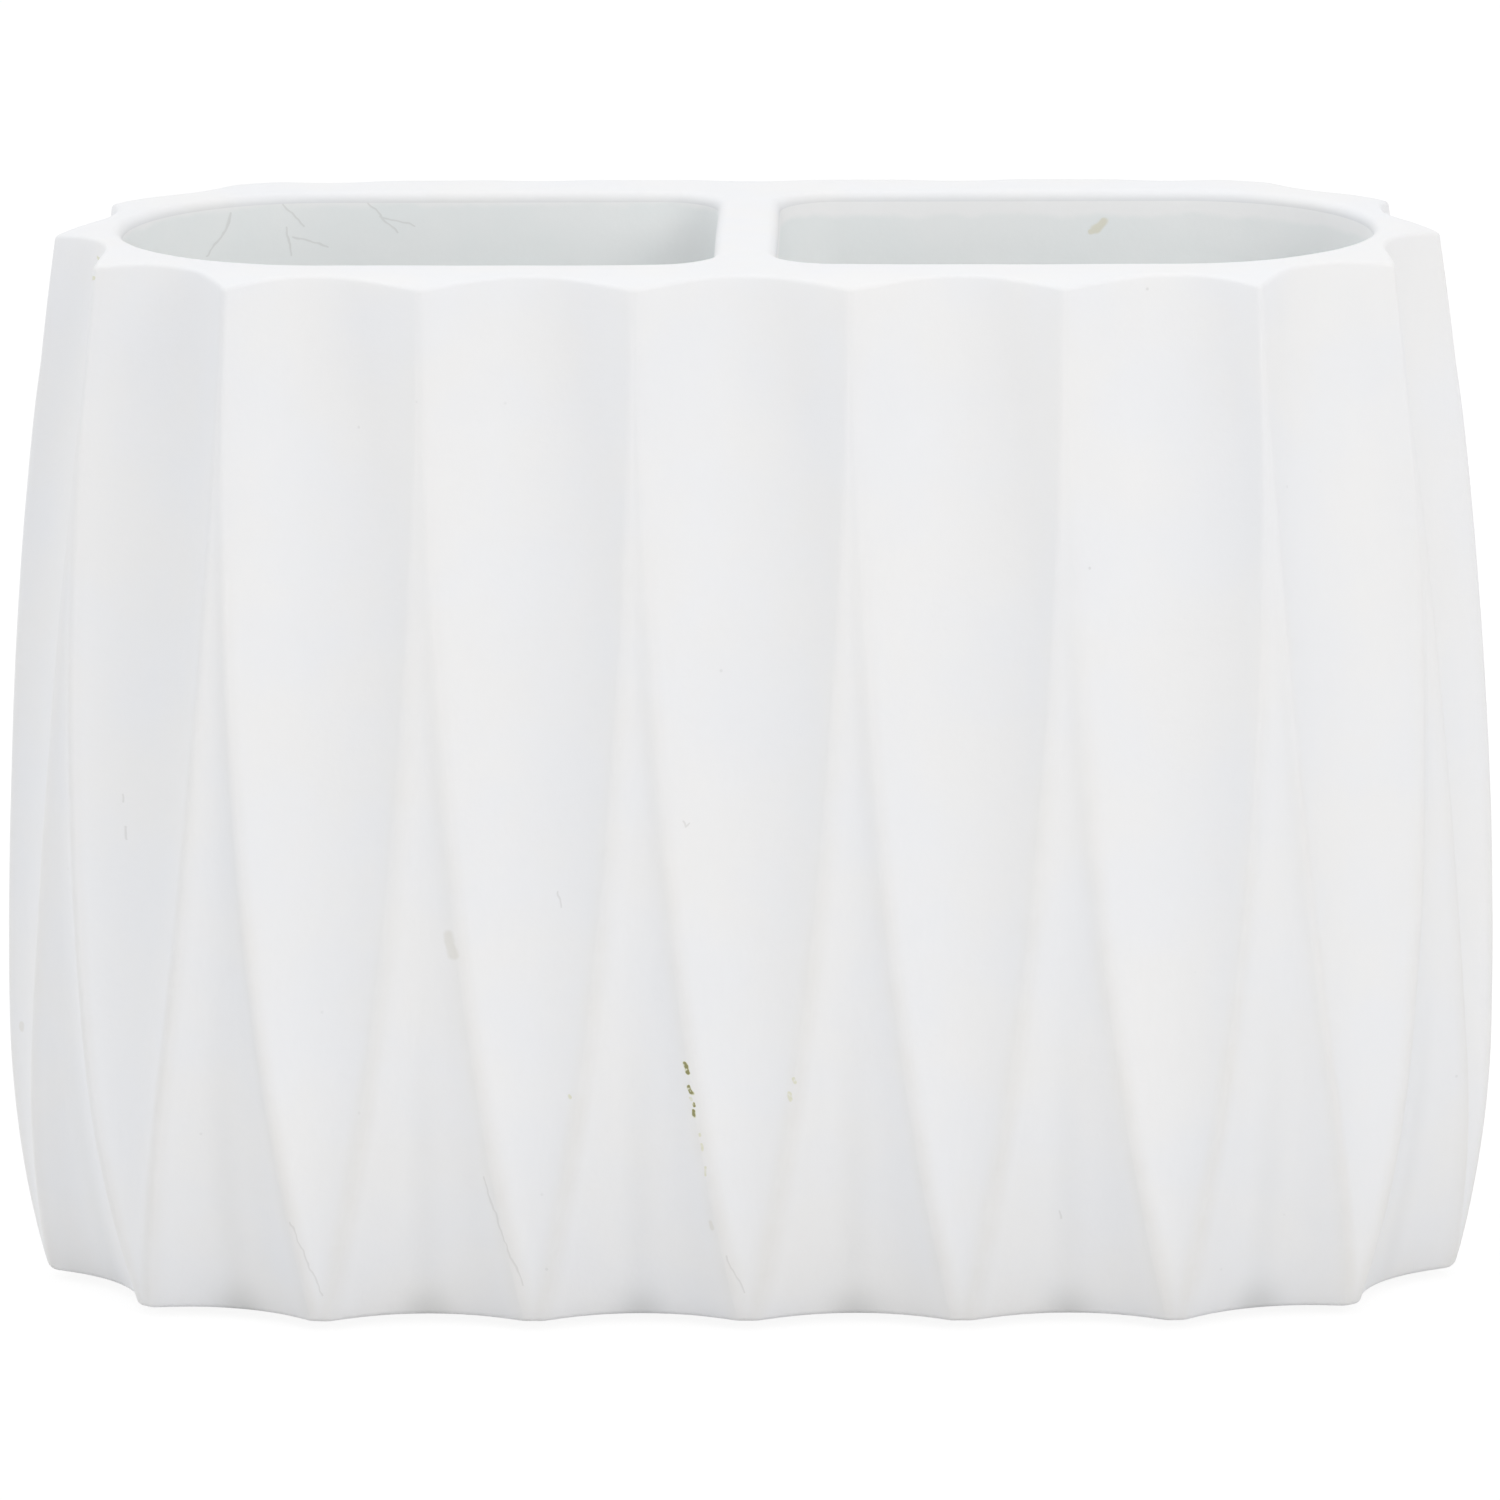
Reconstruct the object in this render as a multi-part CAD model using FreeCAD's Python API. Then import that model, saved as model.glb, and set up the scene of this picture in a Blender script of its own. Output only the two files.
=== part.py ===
import FreeCAD, Part
import math
import os

# A free-standing toothbrush holder: one resin casting with two D-shaped compartments, and four
# soft feet in shallow seats under it. The plan is an oval of straight sides and elliptical ends,
# and the side swells to a belly. Two families of grooves cross on the wall: the upper ones are
# widest at the rim and narrow downwards, and the lower ones, half a pitch aside, widen from a
# point near the rim to the base. Their ridges draw a row of long pointed petals.
# Millimetres, +Z up. The origin is on the standing surface, under the middle of the holder, and
# the front looks along -Y.

# Driving dimensions: the plan at the rim, with the compartments inside the oval of the ridges
END_SPACING = 73.2          # between the centres of the two rounded ends
WELL_RADIUS = 16.4          # rounded end of a compartment, and half its width
END_LAND = 5.65             # from a compartment to the ridges, at the two ends
SIDE_LAND = 8.45            # and at the front and the back
DIVIDER_THICKNESS = 5.2     # between the compartments
DIVIDER_CORNER = 5.0        # radius where the divider meets the wall

# Driving dimensions: the side profile of the ridges
BODY_HEIGHT = 88.8
BELLY_DROP = 68.5           # from the rim down to the widest level
RIM_INSET = 4.95            # how far the ridges draw in from the belly to the rim
BASE_INSET = 2.5            # and from the belly to the base
BASE_ROUND = 1.6            # rounding of the base edge

# Driving dimensions: the grooves
FLUTE_COUNT = 18            # in each of the two families
FLUTE_ANGLE = 22.0          # slope of a groove's flanks, degrees
FLUTE_NOSE = 3.5            # radius of a groove's rounded valley
TIP_DROP = 11.5             # from the rim to the points of the lower grooves
TIP_OPENING = 0.45          # how fast the lower grooves open below their points
BASE_SHARE = 0.95           # share of the base edge that the lower grooves take

# Driving dimensions: the rim, and the compartments below it
CROWN_WIDTH = 4.2           # rounded margin of the rim, from the ridges inwards
CROWN_DROP = 0.6            # how much lower the ridges end than the flat of the rim
LEAST_FLAT = 0.3            # left between the crown and the lip of a compartment
WELL_LIP_ROUND = 0.9
WELL_DRAFT = 1.0            # degrees, narrower towards the floor
WELL_FLOOR_ROUND = 3.0
FLOOR_THICKNESS = 7.0

# Driving dimensions: the feet
FOOT_DIAMETER = 9.0
FOOT_THICKNESS = 2.0
FOOT_SEAT_DEPTH = 1.2
FOOT_SEAT_CLEARANCE = 0.15  # around the foot
FOOT_EDGE_ROUND = 0.5
FOOT_END_INSET = 21.6       # from the belly's tip to the middle of a foot
FOOT_SIDE_INSET = 14.8      # and from the belly's front or back

# How far the stock and the cutting tools reach past the finished form
STOCK_MARGIN = 0.6
TOOL_MARGIN = 1.0
BASE_OVERCUT = 0.5          # of the grooves, below the base

# The most that the floor's rounding may take of the compartments' corners
CORNER_SHARE = 0.85

# Sections of the lofts: even steps down the side and over the rim's margin, and degrees of turn
# round the base edge
SIDE_STEPS = 8
CROWN_STEPS = 3
BASE_ROUND_ANGLES = (30, 55, 75)

# Worked out from the driving dimensions
BASE_Z = FOOT_THICKNESS - FOOT_SEAT_DEPTH
FLOOR_Z = BASE_Z + FLOOR_THICKNESS
RIM_Z = BASE_Z + BODY_HEIGHT
BELLY_Z = RIM_Z - BELLY_DROP
END_REACH = WELL_RADIUS + END_LAND + RIM_INSET      # from an end's centre to the belly's tip
HALF_DEPTH = WELL_RADIUS + SIDE_LAND + RIM_INSET    # from the middle to the belly's front
CROWN_MARGIN = min(CROWN_WIDTH, END_LAND - WELL_LIP_ROUND - LEAST_FLAT)
DRAFT_SLOPE = math.tan(math.radians(WELL_DRAFT))
FLUTE_SLOPE = math.tan(math.radians(FLUTE_ANGLE))
NOSE_HALF = FLUTE_NOSE * math.sin(math.radians(FLUTE_ANGLE))
NOSE_RISE = FLUTE_NOSE * (1 - math.cos(math.radians(FLUTE_ANGLE)))
TOOL_REACH = STOCK_MARGIN + TOOL_MARGIN + 2 * BASE_ROUND    # of a groove's cutter past its ridges
UP = FreeCAD.Vector(0, 0, 1)


def elliptical_end(centre, start, tip, end):
    """Half an ellipse about centre, anticlockwise from start over tip to end."""
    if (tip - centre).Length > (start - centre).Length:
        ellipse = Part.Ellipse(tip, end, centre)
    else:
        ellipse = Part.Ellipse(start, tip, centre)
    first = ellipse.parameter(start)
    return Part.ArcOfEllipse(ellipse, first, first + math.pi).toShape()


def oval_wire(inset, z):
    """The oval plan drawn in by inset, at height z, anticlockwise from the front's left end."""
    half = END_SPACING / 2
    edges = []
    for side in (1, -1):
        centre = FreeCAD.Vector(side * half, 0, z)
        to_front = FreeCAD.Vector(0, -side * (HALF_DEPTH - inset), 0)
        to_tip = FreeCAD.Vector(side * (END_REACH - inset), 0, 0)
        across = FreeCAD.Vector(-side * END_SPACING, 0, 0)
        start = centre + to_front
        edges.append(Part.LineSegment(start + across, start).toShape())
        edges.append(elliptical_end(centre, start, centre + to_tip, centre - to_front))
    return Part.Wire(edges)


BELLY_OVAL = oval_wire(0, 0)
PITCH = BELLY_OVAL.Length / FLUTE_COUNT


def oval_place(pitches):
    """Point, tangent and outward normal on the belly's oval, counted in pitches from mid-front."""
    length = (pitches * PITCH + END_SPACING / 2) % BELLY_OVAL.Length
    for edge in BELLY_OVAL.OrderedEdges:
        if length <= edge.Length:
            break
        length -= edge.Length
    parameter = edge.getParameterByLength(length)
    tangent = edge.tangentAt(parameter)
    return edge.valueAt(parameter), tangent, tangent.cross(UP)


def side_inset(z):
    """How far the ridges draw in from the belly at height z: two arcs, tangent at the belly."""
    if z > BELLY_Z:
        span, full = BELLY_DROP, RIM_INSET
    else:
        span, full = BELLY_Z - BASE_Z, BASE_INSET
    radius = (span ** 2 + full ** 2) / (2 * full)
    return radius - math.sqrt(radius ** 2 - (z - BELLY_Z) ** 2)


def ridge_levels():
    """Height and inset of the ridges, from above the rim, round the base edge, to below it."""
    top = RIM_Z + TOOL_MARGIN
    step = (top - BASE_Z - BASE_ROUND) / SIDE_STEPS
    levels = []
    for count in range(SIDE_STEPS + 1):
        z = top - count * step
        levels.append((z, side_inset(z)))
    for angle in BASE_ROUND_ANGLES:
        turn = math.radians(angle)
        z = BASE_Z + BASE_ROUND * (1 - math.sin(turn))
        levels.append((z, side_inset(z) + BASE_ROUND * (1 - math.cos(turn))))
    z, inset = levels[-1]
    drop = z - BASE_Z + BASE_OVERCUT
    levels.append((z - drop, inset + drop * math.tan(turn)))
    return levels


def lower_share(z):
    """Share of the pitch that the lower grooves take at height z, less than 0 above their points."""
    run = (RIM_Z - TIP_DROP - z) / (BODY_HEIGHT - TIP_DROP)
    if run < 0:
        return TIP_OPENING * run
    return TIP_OPENING * run + (BASE_SHARE - TIP_OPENING) * run ** 3


def groove_rise(across):
    """Height of a groove's section above its valley, at a distance from its middle."""
    if abs(across) < NOSE_HALF:
        return FLUTE_NOSE - math.sqrt(FLUTE_NOSE ** 2 - across ** 2)
    return NOSE_RISE + (abs(across) - NOSE_HALF) * FLUTE_SLOPE


def valley_reach(middle, share, inset):
    """How far out a groove's valley lies, so that both its ridges lie on the inset oval."""
    point, tangent, normal = oval_place(middle)
    reach = 0
    for side in (-1, 1):
        ridge_point, _, ridge_normal = oval_place(middle + side * max(share, 0) / 2)
        offset = ridge_point - ridge_normal * inset - point
        reach += (offset.dot(normal) - groove_rise(offset.dot(tangent))) / 2
    return reach - min(share, 0) / 2 * PITCH * FLUTE_SLOPE


def groove_section(middle, reach, z):
    """Closed section of a groove's cutter at height z: two flanks, a round nose and a back."""
    point, tangent, normal = oval_place(middle)
    half = PITCH / 2 + TOOL_REACH / FLUTE_SLOPE

    def place(across):
        return point + tangent * across + normal * (reach + groove_rise(across)) + UP * z

    left, nose_left, valley, nose_right, right = [
        place(across) for across in (-half, -NOSE_HALF, 0, NOSE_HALF, half)]
    return Part.Wire([
        Part.LineSegment(left, nose_left).toShape(),
        Part.Arc(nose_left, valley, nose_right).toShape(),
        Part.LineSegment(nose_right, right).toShape(),
        Part.LineSegment(right, left).toShape()])


def groove_cutters():
    """Both families of grooves, as solids to cut away from the stock."""
    levels = ridge_levels()
    cutters = []
    for count in range(FLUTE_COUNT):
        for middle, is_upper in ((count, True), (count + 0.5, False)):
            sections = []
            for z, inset in levels:
                share = lower_share(z)
                if is_upper:
                    share = 1 - max(share, 0)
                sections.append(groove_section(middle, valley_reach(middle, share, inset), z))
            cutters.append(Part.makeLoft(sections, True, False))
    return cutters


def crown_drop(inset):
    """How far the rim's rounded margin lies below its flat, at an inset from the belly's oval."""
    radius = (CROWN_MARGIN ** 2 + CROWN_DROP ** 2) / (2 * CROWN_DROP)
    return radius - math.sqrt(radius ** 2 - (RIM_INSET + CROWN_MARGIN - inset) ** 2)


def plain_stock():
    """The barrel with no grooves yet, a little larger than its ridges, under a crowned rim."""
    rim_edge = RIM_INSET - STOCK_MARGIN
    edge_z = RIM_Z - crown_drop(rim_edge)
    side = []
    for count in range(SIDE_STEPS):
        z = BASE_Z + (edge_z - BASE_Z) * count / SIDE_STEPS
        side.append(oval_wire(side_inset(z) - STOCK_MARGIN, z))
    crown = []
    for count in range(CROWN_STEPS + 1):
        inset = rim_edge + (CROWN_MARGIN + STOCK_MARGIN) * count / CROWN_STEPS
        crown.append(oval_wire(inset, RIM_Z - crown_drop(inset)))
    barrel = Part.makeLoft(side + crown[:1], True, False)
    return barrel.fuse(Part.makeLoft(crown, True, False))


def well_wire(draw_in, z):
    """D-shaped outline of the right compartment: a half round end and two corners at the divider."""
    radius = WELL_RADIUS - draw_in
    corner = DIVIDER_CORNER - draw_in
    inner = DIVIDER_THICKNESS / 2 + draw_in
    end = END_SPACING / 2
    slant = corner * (1 - math.sqrt(0.5))
    edges = [Part.LineSegment(FreeCAD.Vector(inner + corner, -radius, z),
                              FreeCAD.Vector(end, -radius, z)).toShape(),
             Part.Arc(FreeCAD.Vector(end, -radius, z), FreeCAD.Vector(end + radius, 0, z),
                      FreeCAD.Vector(end, radius, z)).toShape(),
             Part.LineSegment(FreeCAD.Vector(end, radius, z),
                              FreeCAD.Vector(inner + corner, radius, z)).toShape(),
             Part.Arc(FreeCAD.Vector(inner + corner, radius, z),
                      FreeCAD.Vector(inner + slant, radius - slant, z),
                      FreeCAD.Vector(inner, radius - corner, z)).toShape(),
             Part.LineSegment(FreeCAD.Vector(inner, radius - corner, z),
                              FreeCAD.Vector(inner, corner - radius, z)).toShape(),
             Part.Arc(FreeCAD.Vector(inner, corner - radius, z),
                      FreeCAD.Vector(inner + slant, slant - radius, z),
                      FreeCAD.Vector(inner + corner, -radius, z)).toShape()]
    return Part.Wire(edges)


def well_tools():
    """The two compartments as solids: drafted sides and a floor with a rounded edge."""
    top = RIM_Z + TOOL_MARGIN
    right = Part.makeLoft([well_wire((RIM_Z - z) * DRAFT_SLOPE, z) for z in (FLOOR_Z, top)], True, True)
    floor_edges = [edge for edge in right.Edges if edge.BoundBox.ZMax < (FLOOR_Z + top) / 2]
    floor_corner = DIVIDER_CORNER - (RIM_Z - FLOOR_Z) * DRAFT_SLOPE
    right = right.makeFillet(min(WELL_FLOOR_ROUND, floor_corner * CORNER_SHARE), floor_edges)
    left = right.mirror(FreeCAD.Vector(0, 0, 0), FreeCAD.Vector(1, 0, 0))
    return [right, left]


def lip_edges(body):
    """Edges of the rim's flat that go round the mouths of the compartments."""
    flat = max(body.Faces, key=lambda face: face.CenterOfMass.z)
    return [edge for wire in flat.Wires if not wire.isSame(flat.OuterWire) for edge in wire.Edges]


def foot_places():
    """Name and middle of each foot."""
    places = []
    out_x = END_SPACING / 2 + END_REACH - FOOT_END_INSET
    out_y = HALF_DEPTH - FOOT_SIDE_INSET
    for row, y in (("front", -out_y), ("back", out_y)):
        for side, x in (("left", -out_x), ("right", out_x)):
            places.append(("foot_" + row + "_" + side, FreeCAD.Vector(x, y, 0)))
    return places


def foot(place):
    """A soft round pad with an eased lower edge, standing on the surface."""
    pad = Part.makeCylinder(FOOT_DIAMETER / 2, FOOT_THICKNESS, place)
    lower_edges = [edge for edge in pad.Edges if edge.BoundBox.ZMax < FOOT_THICKNESS / 2]
    return pad.makeFillet(FOOT_EDGE_ROUND, lower_edges)


def foot_seats():
    """Shallow round recesses in the underside, one for each foot."""
    radius = FOOT_DIAMETER / 2 + FOOT_SEAT_CLEARANCE
    depth = FOOT_SEAT_DEPTH + TOOL_MARGIN
    below = UP * (BASE_Z - TOOL_MARGIN)
    return [Part.makeCylinder(radius, depth, place + below) for _, place in foot_places()]


def fluted_body():
    """The casting: grooved barrel, compartments with eased lips, and seats for the feet."""
    body = plain_stock()
    for cutter in groove_cutters():
        body = body.cut(cutter)
    body = body.cut(well_tools())
    body = body.makeFillet(WELL_LIP_ROUND, lip_edges(body))
    return body.cut(foot_seats())


os.makedirs("parts", exist_ok=True)
nodes = {"fluted_body": fluted_body()}
for name, place in foot_places():
    nodes[name] = foot(place)
for name, shape in nodes.items():
    print(name, "valid", shape.isValid(), "solids", len(shape.Solids), "faces", len(shape.Faces),
          "volume", round(shape.Volume, 2))
    shape.exportStep("parts/" + name + ".step")
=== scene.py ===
# %% [markdown]
# # A fluted toothbrush holder, dressed around its solids
#
# The real object is one casting: filled resin poured into a soft mould, rubbed down at the rim and
# sprayed with matt white paint. The imported CAD part holds its sizes. This lesson gives it the surface
# that a camera sees: ridges that the mould and the paint have softened, a rim rounded by hand, paint
# that runs over the lips of the compartments and stops unevenly inside, and the small marks of use.
#
# The frame comes first. It is the imported part, and it is never moved.

# %% Load the frame
import math

import bmesh
import bpy
import numpy as np
from mathutils import Matrix, Vector, noise


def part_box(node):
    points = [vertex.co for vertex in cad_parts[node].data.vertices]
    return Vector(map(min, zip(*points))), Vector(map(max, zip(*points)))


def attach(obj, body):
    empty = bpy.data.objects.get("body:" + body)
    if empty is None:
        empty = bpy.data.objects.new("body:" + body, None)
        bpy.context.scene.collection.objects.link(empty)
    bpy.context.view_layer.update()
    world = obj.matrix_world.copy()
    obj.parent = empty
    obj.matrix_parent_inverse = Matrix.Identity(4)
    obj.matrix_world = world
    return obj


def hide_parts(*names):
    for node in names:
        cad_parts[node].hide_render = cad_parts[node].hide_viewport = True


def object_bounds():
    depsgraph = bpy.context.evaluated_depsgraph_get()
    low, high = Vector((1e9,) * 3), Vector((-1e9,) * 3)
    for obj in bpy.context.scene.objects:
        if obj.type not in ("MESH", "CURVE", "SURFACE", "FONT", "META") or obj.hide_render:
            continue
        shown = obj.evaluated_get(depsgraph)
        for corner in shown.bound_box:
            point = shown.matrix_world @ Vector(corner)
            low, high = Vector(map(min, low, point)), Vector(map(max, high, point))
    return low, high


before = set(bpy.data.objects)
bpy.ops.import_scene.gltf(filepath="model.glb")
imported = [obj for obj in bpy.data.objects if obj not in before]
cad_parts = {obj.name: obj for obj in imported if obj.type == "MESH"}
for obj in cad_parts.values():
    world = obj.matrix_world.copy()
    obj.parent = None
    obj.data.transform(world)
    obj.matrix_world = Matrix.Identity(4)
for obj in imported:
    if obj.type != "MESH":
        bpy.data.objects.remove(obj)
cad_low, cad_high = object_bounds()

MM = 0.001
print("nodes:", ", ".join(sorted(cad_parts)))
print("CAD box, mm:", [round((high - low) / MM, 1) for low, high in zip(cad_low, cad_high)])

# %% [markdown]
# ## The plan: one oval for everything
#
# Seen from above, the casting is an oval with straight sides and elliptical ends. All its grooves are
# set out along this oval at the widest level, the belly, the way a pattern maker steps off divisions
# with a pair of compasses. A Bezier circle could be stretched to this shape, but grooves need equal
# steps along the line, so the oval is kept as a table of places and lengths that can be looked up at
# any distance from the middle of the front. Sizes are in millimetres, as on a drawing.

# %% The belly's oval
END_SPACING = 73.2      # between the centres of the two rounded ends
WELL_RADIUS = 16.4      # rounded end of a compartment, and half its width
END_LAND = 5.65         # from a compartment to the ridges at the rim, at the ends
SIDE_LAND = 8.45        # and at the front and the back
RIM_INSET = 4.95        # how far the ridges draw in from the belly to the rim
FLUTES = 18             # grooves in each of the two families
OVAL_STEPS = 1000       # places round each end
QUARTER_TURN = math.pi / 2

END_REACH = WELL_RADIUS + END_LAND + RIM_INSET
HALF_DEPTH = WELL_RADIUS + SIDE_LAND + RIM_INSET


def oval_table():
    """Places and outward normals round the oval, from mid-front over the right end, and lengths."""
    turn = np.linspace(-QUARTER_TURN, QUARTER_TURN, OVAL_STEPS)
    end = np.stack([END_SPACING / 2 + END_REACH * np.cos(turn), HALF_DEPTH * np.sin(turn)], -1)
    end_normal = np.stack([HALF_DEPTH * np.cos(turn), END_REACH * np.sin(turn)], -1)
    end_normal /= np.linalg.norm(end_normal, axis=1)[:, None]
    front, ahead = np.array([[0, -HALF_DEPTH]]), np.array([[0.0, -1.0]])
    places = np.concatenate([front, end, -end, front])
    normals = np.concatenate([ahead, end_normal, -end_normal, ahead])
    steps = np.linalg.norm(np.diff(places, axis=0), axis=1)
    return places, normals, np.concatenate([[0], np.cumsum(steps)])


OVAL_PLACES, OVAL_NORMALS, OVAL_LENGTHS = oval_table()
PITCH = OVAL_LENGTHS[-1] / FLUTES


def oval(pitches):
    """Place, outward normal and tangent on the oval, counted in groove pitches from mid-front."""
    along = np.mod(pitches, FLUTES) * PITCH
    place, normal = [np.stack([np.interp(along, OVAL_LENGTHS, table[:, axis]) for axis in (0, 1)], -1)
                     for table in (OVAL_PLACES, OVAL_NORMALS)]
    normal = normal / np.linalg.norm(normal, axis=-1, keepdims=True)
    return place, normal, np.stack([-normal[..., 1], normal[..., 0]], -1)


print("oval:", round(OVAL_LENGTHS[-1], 1), "mm round, one groove every", round(PITCH, 2), "mm")

# %% [markdown]
# ## The side: a barrel
#
# From the side, the ridges follow two arcs that meet at the belly, low down on the wall. The upper one
# draws in towards the rim and the lower one towards the base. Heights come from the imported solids, so
# the dressed casting stands exactly where the CAD one does.

# %% The side profile
BELLY_DROP = 68.5       # from the rim down to the widest level
BASE_INSET = 2.5        # how far the ridges draw in from the belly to the base
body_low, body_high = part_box("fluted_body")
BASE_Z = body_low.z / MM
RIM_Z = body_high.z / MM
BELLY_Z = RIM_Z - BELLY_DROP


def side_inset(z):
    """How far the ridges draw in from the belly at height z."""
    span = np.where(z > BELLY_Z, RIM_Z - BELLY_Z, BELLY_Z - BASE_Z)
    full = np.where(z > BELLY_Z, RIM_INSET, BASE_INSET)
    radius = (span ** 2 + full ** 2) / (2 * full)
    return radius - np.sqrt(radius ** 2 - (z - BELLY_Z) ** 2)


print("base at", round(BASE_Z, 2), "belly at", round(BELLY_Z, 2), "rim at", round(RIM_Z, 2))

# %% [markdown]
# ## The wall: two families of grooves
#
# This is the part of the holder that people notice: long pointed petals. They are not carved one by
# one. One family of grooves is widest at the rim and closes downwards, the other starts at a point
# below the rim and opens down to the base, half a pitch aside. Where two grooves meet they leave a
# ridge, and the ridges draw the petals. At the rim a groove's section is a V with a rounded valley.
# Further down it has turned into almost one arc, so the petals are crisp above and soft below.
#
# A boolean could cut 36 tools from a barrel, but its cut edges are razor sharp and its faces are long
# slivers. Here each groove is a formula that says how far a spot stands out past it. The wall lies
# where the largest of these is zero. A soft maximum in place of the plain one rounds each ridge by a
# set amount, the way paint fills and a mould wears: little near the rim, more towards the base.

# %% One groove
ANGLES = np.radians((24.0, 36.0))   # slope of a groove's flanks at a ridge, at the rim and below
ARC_SHARES = (0.40, 0.92)           # share of a groove's width that is an arc, at the rim and below
ARC_RUN = 28.0                      # from the rim down to where a section is almost all arc
TIP_DROP = 11.5                     # from the rim to the points of the lower grooves
TIP_OPENING = 0.45                  # how fast the lower grooves open below their points
BASE_SHARE = 0.95                   # share of the base edge that the lower grooves take


def dot(first, second):
    """Dot product along the last axis."""
    return (first * second).sum(-1)


def lower_share(z):
    """Share of the pitch that the lower grooves take at height z, below 0 above their points."""
    run = (RIM_Z - TIP_DROP - z) / (RIM_Z - TIP_DROP - BASE_Z)
    return TIP_OPENING * run + (BASE_SHARE - TIP_OPENING) * np.maximum(run, 0) ** 3


def section(z):
    """Slope angle at the ridges and share of the arc, at height z."""
    run = (RIM_Z - z) / ARC_RUN
    return np.interp(run, (0, 1), ANGLES), np.interp(run, (0, 1), ARC_SHARES)


def groove_rise(across, half, z):
    """Height of a groove's section above its valley, at a distance from its middle."""
    angle, arc_share = section(z)
    arc = half * arc_share
    radius = arc / np.sin(angle)
    on_arc = np.minimum(np.abs(across), arc)
    return radius - np.sqrt(radius ** 2 - on_arc ** 2) + (np.abs(across) - on_arc) * np.tan(angle)


def groove(middle, z, inset):
    """A groove's place, normal, tangent, valley and half width, with both ridges on the inset oval."""
    share = lower_share(z)
    share = np.where(np.mod(middle, 1) == 0, 1 - np.maximum(share, 0), share)
    half = np.maximum(share, 0) / 2 * PITCH
    place, normal, tangent = oval(middle)
    valley = -np.minimum(share, 0) / 2 * PITCH * np.tan(section(z)[0])
    for side in (-0.5, 0.5):
        ridge, ridge_normal, _ = oval(middle + side * np.maximum(share, 0))
        offset = ridge - ridge_normal * inset[..., None] - place
        valley = valley + (dot(offset, normal) - groove_rise(dot(offset, tangent), half, z)) / 2
    return place, normal, tangent, valley, half


print("groove section:", round(float(groove_rise(PITCH / 2, PITCH / 2, RIM_Z)), 2), "mm deep at the rim")

# %% The wall as a soft maximum of grooves
CREST_AT_RIM = 0.6      # how much the ridges are softened near the rim
CREST_AT_BASE = 1.4     # and near the base
RIDGE_REACH = 2.0       # how far the ridges' wear reaches, as a difference between two grooves
VALLEY_REACH = 3.5      # and how far from a valley's middle the painted shade reaches
SOLVE_ROUNDS = 7
NEIGHBOURS = np.array([-1, -0.5, 0, 0.5, 1])    # grooves near a spot, the halves being lower ones


def soft_max(first, second, softness):
    """The larger of two values, with the corner between them rounded."""
    blend = np.maximum(softness - np.abs(first - second), 0) / softness
    return np.maximum(first, second) + blend ** 2 * softness / 4


def with_height(spot, z):
    """Spots in plan, lifted to height z."""
    return np.concatenate([spot, np.broadcast_to(z, spot.shape[:-1])[..., None]], -1)


def wall(pitches, z, base_draw=0.0):
    """Points of the wall, and masks that are 1 on its ridges and in the valleys of its lower grooves."""
    place, normal, _ = oval(pitches)
    softness = CREST_AT_BASE + (CREST_AT_RIM - CREST_AT_BASE) * (z - BASE_Z) / (RIM_Z - BASE_Z)
    inset = side_inset(z) + base_draw - softness / 4
    grooves = [groove(np.round(pitches) + step, z, inset) for step in NEIGHBOURS]
    out = -inset
    for _ in range(SOLVE_ROUNDS):
        spot = place + normal * out[..., None]
        across = [dot(spot - middle, aside) for middle, _, aside, _, _ in grooves]
        stands_out = [dot(spot - middle, ahead) - valley - groove_rise(off, half, z)
                      for off, (middle, ahead, _, valley, half) in zip(across, grooves)]
        excess = stands_out[0]
        for other in stands_out[1:]:
            excess = soft_max(excess, other, softness)
        out = out - excess
    second, first = np.sort(np.stack(stands_out), axis=0)[-2:]
    ridge = np.clip(1 - (first - second) / RIDGE_REACH, 0, 1)
    nearest = np.argmax(np.stack(stands_out), axis=0)[None]
    off_valley = np.take_along_axis(np.abs(np.stack(across)), nearest, axis=0)[0]
    is_lower = (np.mod(NEIGHBOURS, 1) > 0)[nearest[0]]
    valley = np.clip(1 - off_valley / VALLEY_REACH, 0, 1) * is_lower
    return with_height(spot, z), np.stack([ridge, valley])


sample = wall(np.array([0.0, 0.5]), np.array([RIM_Z, RIM_Z]))[0]
print("at the rim, mid-front valley and next ridge, mm:", sample.round(2).tolist())

# %% [markdown]
# ## Columns that follow the ridges
#
# A plain grid over the wall would cross the ridges at a slant and show them as small steps. So the
# columns of this mesh slide sideways with height: some always lie on the ridges, and the rest share
# out the grooves between them. Above the points of the lower grooves there is nothing to share, so
# their columns gather in a narrow band on the single ridge.
#
# The holder is the same in all four quarters, so only the front right one is made. A Mirror modifier
# makes the rest, as it would for a car body.

# %% Columns of one quarter
UPPER_COLUMNS = 9               # across half an upper groove
CREST_COLUMNS = 4               # across a ridge
LOWER_COLUMNS = 6               # across half a lower groove
COLUMNS = 2 * (UPPER_COLUMNS + CREST_COLUMNS + LOWER_COLUMNS)
CREST_HALF = 0.45 / PITCH       # half the width of a ridge's own columns
LEAST_LOWER = 1.8 / PITCH       # least width of a lower groove and its two ridges


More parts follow.
